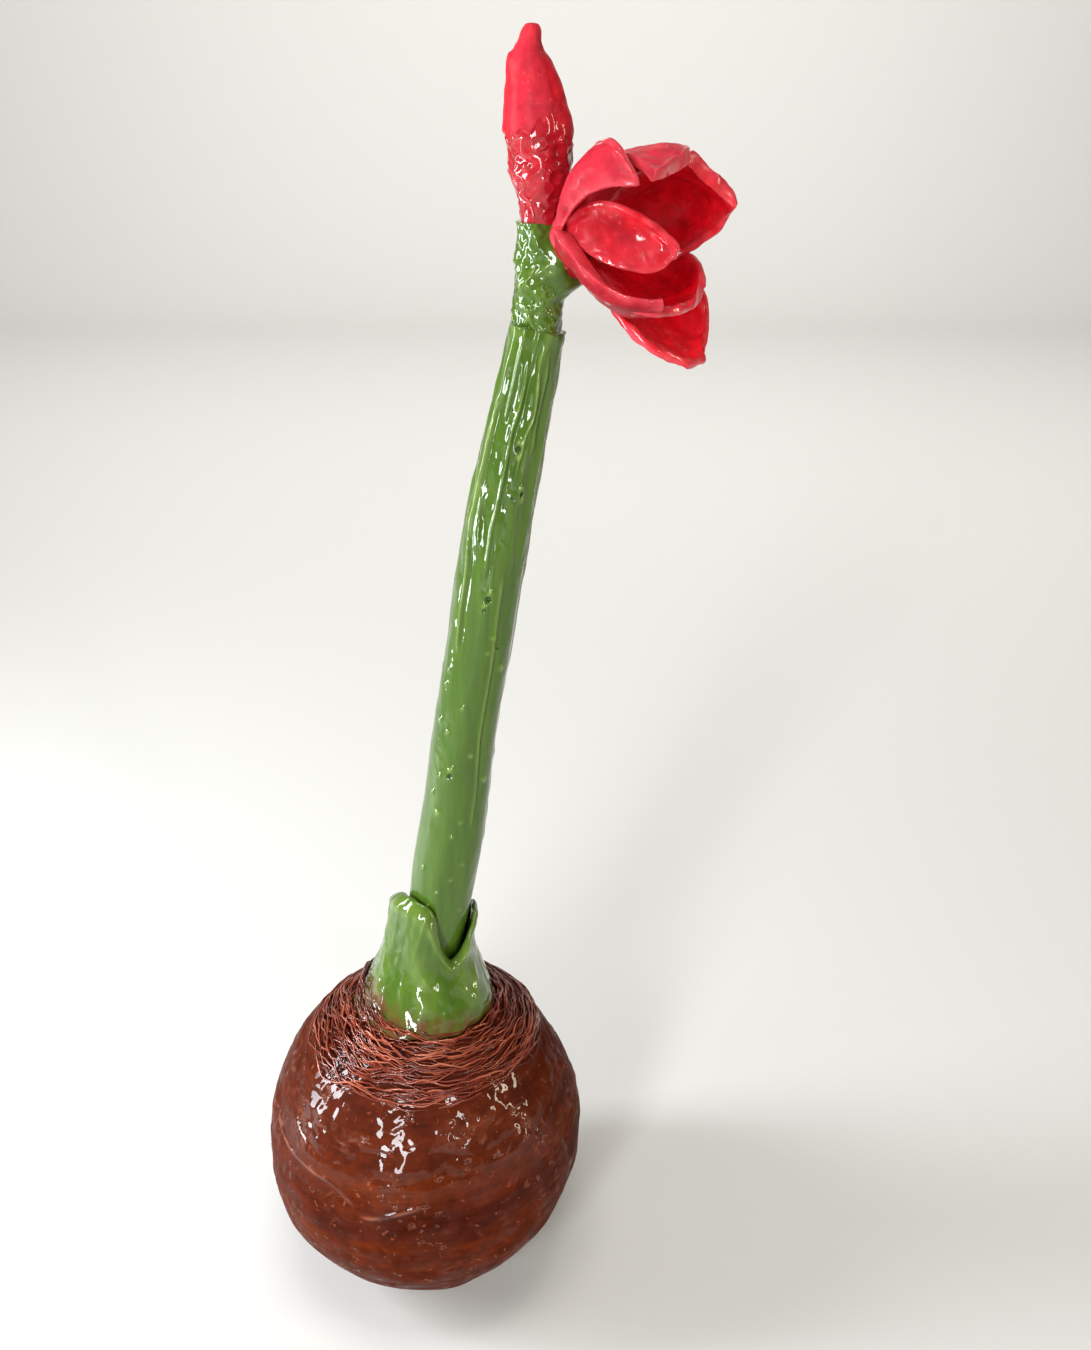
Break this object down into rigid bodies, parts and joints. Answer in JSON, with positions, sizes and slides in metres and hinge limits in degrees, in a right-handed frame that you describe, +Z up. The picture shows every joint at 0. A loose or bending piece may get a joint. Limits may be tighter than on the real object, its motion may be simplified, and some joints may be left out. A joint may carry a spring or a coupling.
{
  "type": "hand-modelled glazed amaryllis bulb figure",
  "caption": "Decorative amaryllis modelled by hand and glazed: a brown bulb with a fibrous neck, a leaf collar, a tall leaning stem, a closed bud and a half-open flower.",
  "frame": {"origin": "centre of the flat underside of the bulb", "axes": "+Z up, +X the side that the stem leans to and the flower opens to, -Y the side that is looked at"},
  "size_m": [0.1335, 0.0987, 0.3685],
  "materials": {
    "bulb_brown": "brown glaze",
    "stem_green": "green glaze",
    "petal_red": "red glaze"
  },
  "bodies": {
    "root": {"bulb": "bulb_brown", "stem": "stem_green", "leaf_collar": "stem_green", "head": "stem_green", "bud": "petal_red", "flower_seat": "petal_red", "petal_inner_near": "petal_red", "petal_outer_near": "petal_red", "petal_hood": "petal_red", "petal_inner_low": "petal_red", "petal_far": "petal_red", "petal_top": "petal_red", "petal_outer_low": "petal_red"}
  },
  "joints": []
}
